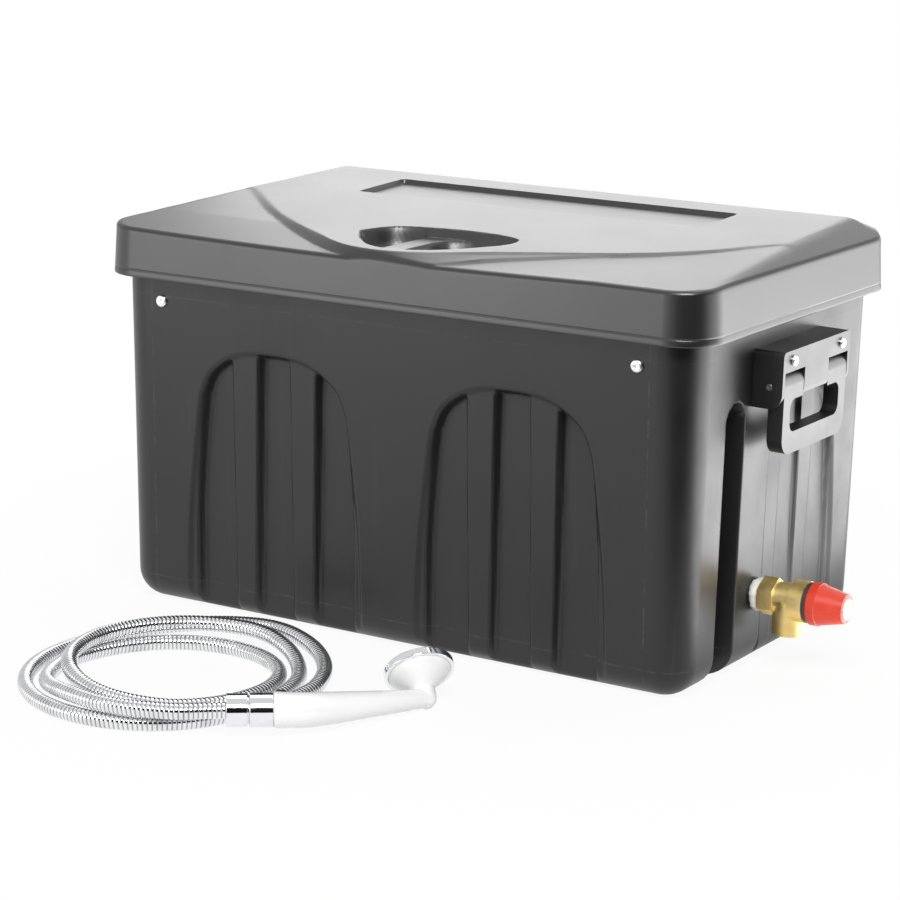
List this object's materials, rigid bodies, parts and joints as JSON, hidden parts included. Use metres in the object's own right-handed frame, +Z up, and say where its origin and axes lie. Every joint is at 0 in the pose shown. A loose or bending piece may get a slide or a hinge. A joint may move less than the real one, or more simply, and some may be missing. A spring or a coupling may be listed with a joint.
{
  "type": "portable water heater",
  "caption": "Portable water heater: lidded plastic box around a boiler, with carry handles, a safety valve and a hand shower on a coiled metal hose.",
  "frame": {"origin": "on the floor under the middle of the box, on its flat underside", "axes": "+X along the box to the safety valve's end, +Y to the hinge side, +Z up"},
  "size_m": [0.6396, 0.6344, 0.3359],
  "materials": {
    "tub": "moulded, faint grain",
    "lid": "moulded, satin",
    "handle": "moulded, satin",
    "zinc": "zinc plated",
    "steel": "plain",
    "deck": "mill finish",
    "brass": "forged, machined",
    "sealant": "cured paste",
    "dark_ring": "satin",
    "red": "satin gloss",
    "white": "gloss",
    "stainless": "drawn sheet",
    "foam": "closed-cell foam",
    "rubber": "matte",
    "black_part": "moulded",
    "rocker": "gloss",
    "chrome": "plated"
  },
  "bodies": {
    "heater": {"tub": "tub", "handle_base_right": "handle", "handle_base_left": "handle", "handle_screws": "zinc", "handle_nuts": "zinc", "deck_screws": "zinc", "deck_nuts": "zinc", "strap_screws": "zinc", "flange_bolts": "zinc", "hinge_pins": "steel", "handle_pins_right": "steel", "handle_pins_left": "steel", "boiler_straps": "steel", "valve_spring": "steel", "inner_deck": "deck", "valve_nipple": "brass", "valve_body": "brass", "heater_flange": "brass", "bulkhead_fittings": "brass", "bulkhead_nuts": "brass", "valve_sealant": "sealant", "valve_ring": "dark_ring", "shower_grip": "white", "shower_spray": "white", "boiler_tank": "stainless", "heater_element": "stainless", "cold_pipe": "stainless", "hot_pipe": "stainless", "boiler_jacket": "foam", "boiler_saddles": "foam", "heater_gasket": "rubber", "bulkhead_washers": "rubber", "hose_washers": "rubber", "thermostat": "black_part", "cable_gland": "black_part", "gland_nut": "black_part", "switch_frame": "black_part", "terminal_cover": "black_part", "hose": "chrome", "hose_nut": "chrome", "hose_end_nut": "chrome", "shower_collar": "chrome", "shower_ring": "chrome"},
    "lid": {"lid": "lid"},
    "bail_right": {"handle_bail_right": "handle"},
    "bail_left": {"handle_bail_left": "handle"},
    "valve_cap": {"valve_cap": "red", "valve_cap_disc": "white"},
    "valve_stem": {"valve_stem": "steel"},
    "rocker": {"switch_rocker": "rocker"}
  },
  "joints": [
    {"name": "lid_hinge", "type": "hinge", "parent": "heater", "child": "lid", "pos_m": [0, 0.17857, 0.271], "axis": [-1, 0, 0], "range_deg": [0, 100]},
    {"name": "right_bail_swing", "type": "hinge", "parent": "heater", "child": "bail_right", "pos_m": [0.28105, 0, 0.23272], "axis": [0, -1, 0], "range_deg": [0, 90]},
    {"name": "left_bail_swing", "type": "hinge", "parent": "heater", "child": "bail_left", "pos_m": [-0.28105, 0, 0.23272], "axis": [0, 1, 0], "range_deg": [0, 90]},
    {"name": "valve_cap_turn", "type": "hinge", "parent": "heater", "child": "valve_cap", "pos_m": [0.32, -0.036, 0.0615], "axis": [1, 0, 0], "range_deg": [0, 90]},
    {"name": "valve_stem_lift", "type": "slide", "parent": "heater", "child": "valve_stem", "axis": [1, 0, 0], "range_m": [0, 0.002]},
    {"name": "switch_tilt", "type": "hinge", "parent": "heater", "child": "rocker", "pos_m": [-0.26741, 0.118, 0.24196], "axis": [0, -1, 0], "range_deg": [0, 8]}
  ],
  "couplings": [
    {"joint": "valve_stem_lift", "follows": "valve_cap_turn", "m_per_rad": 0.00121}
  ]
}
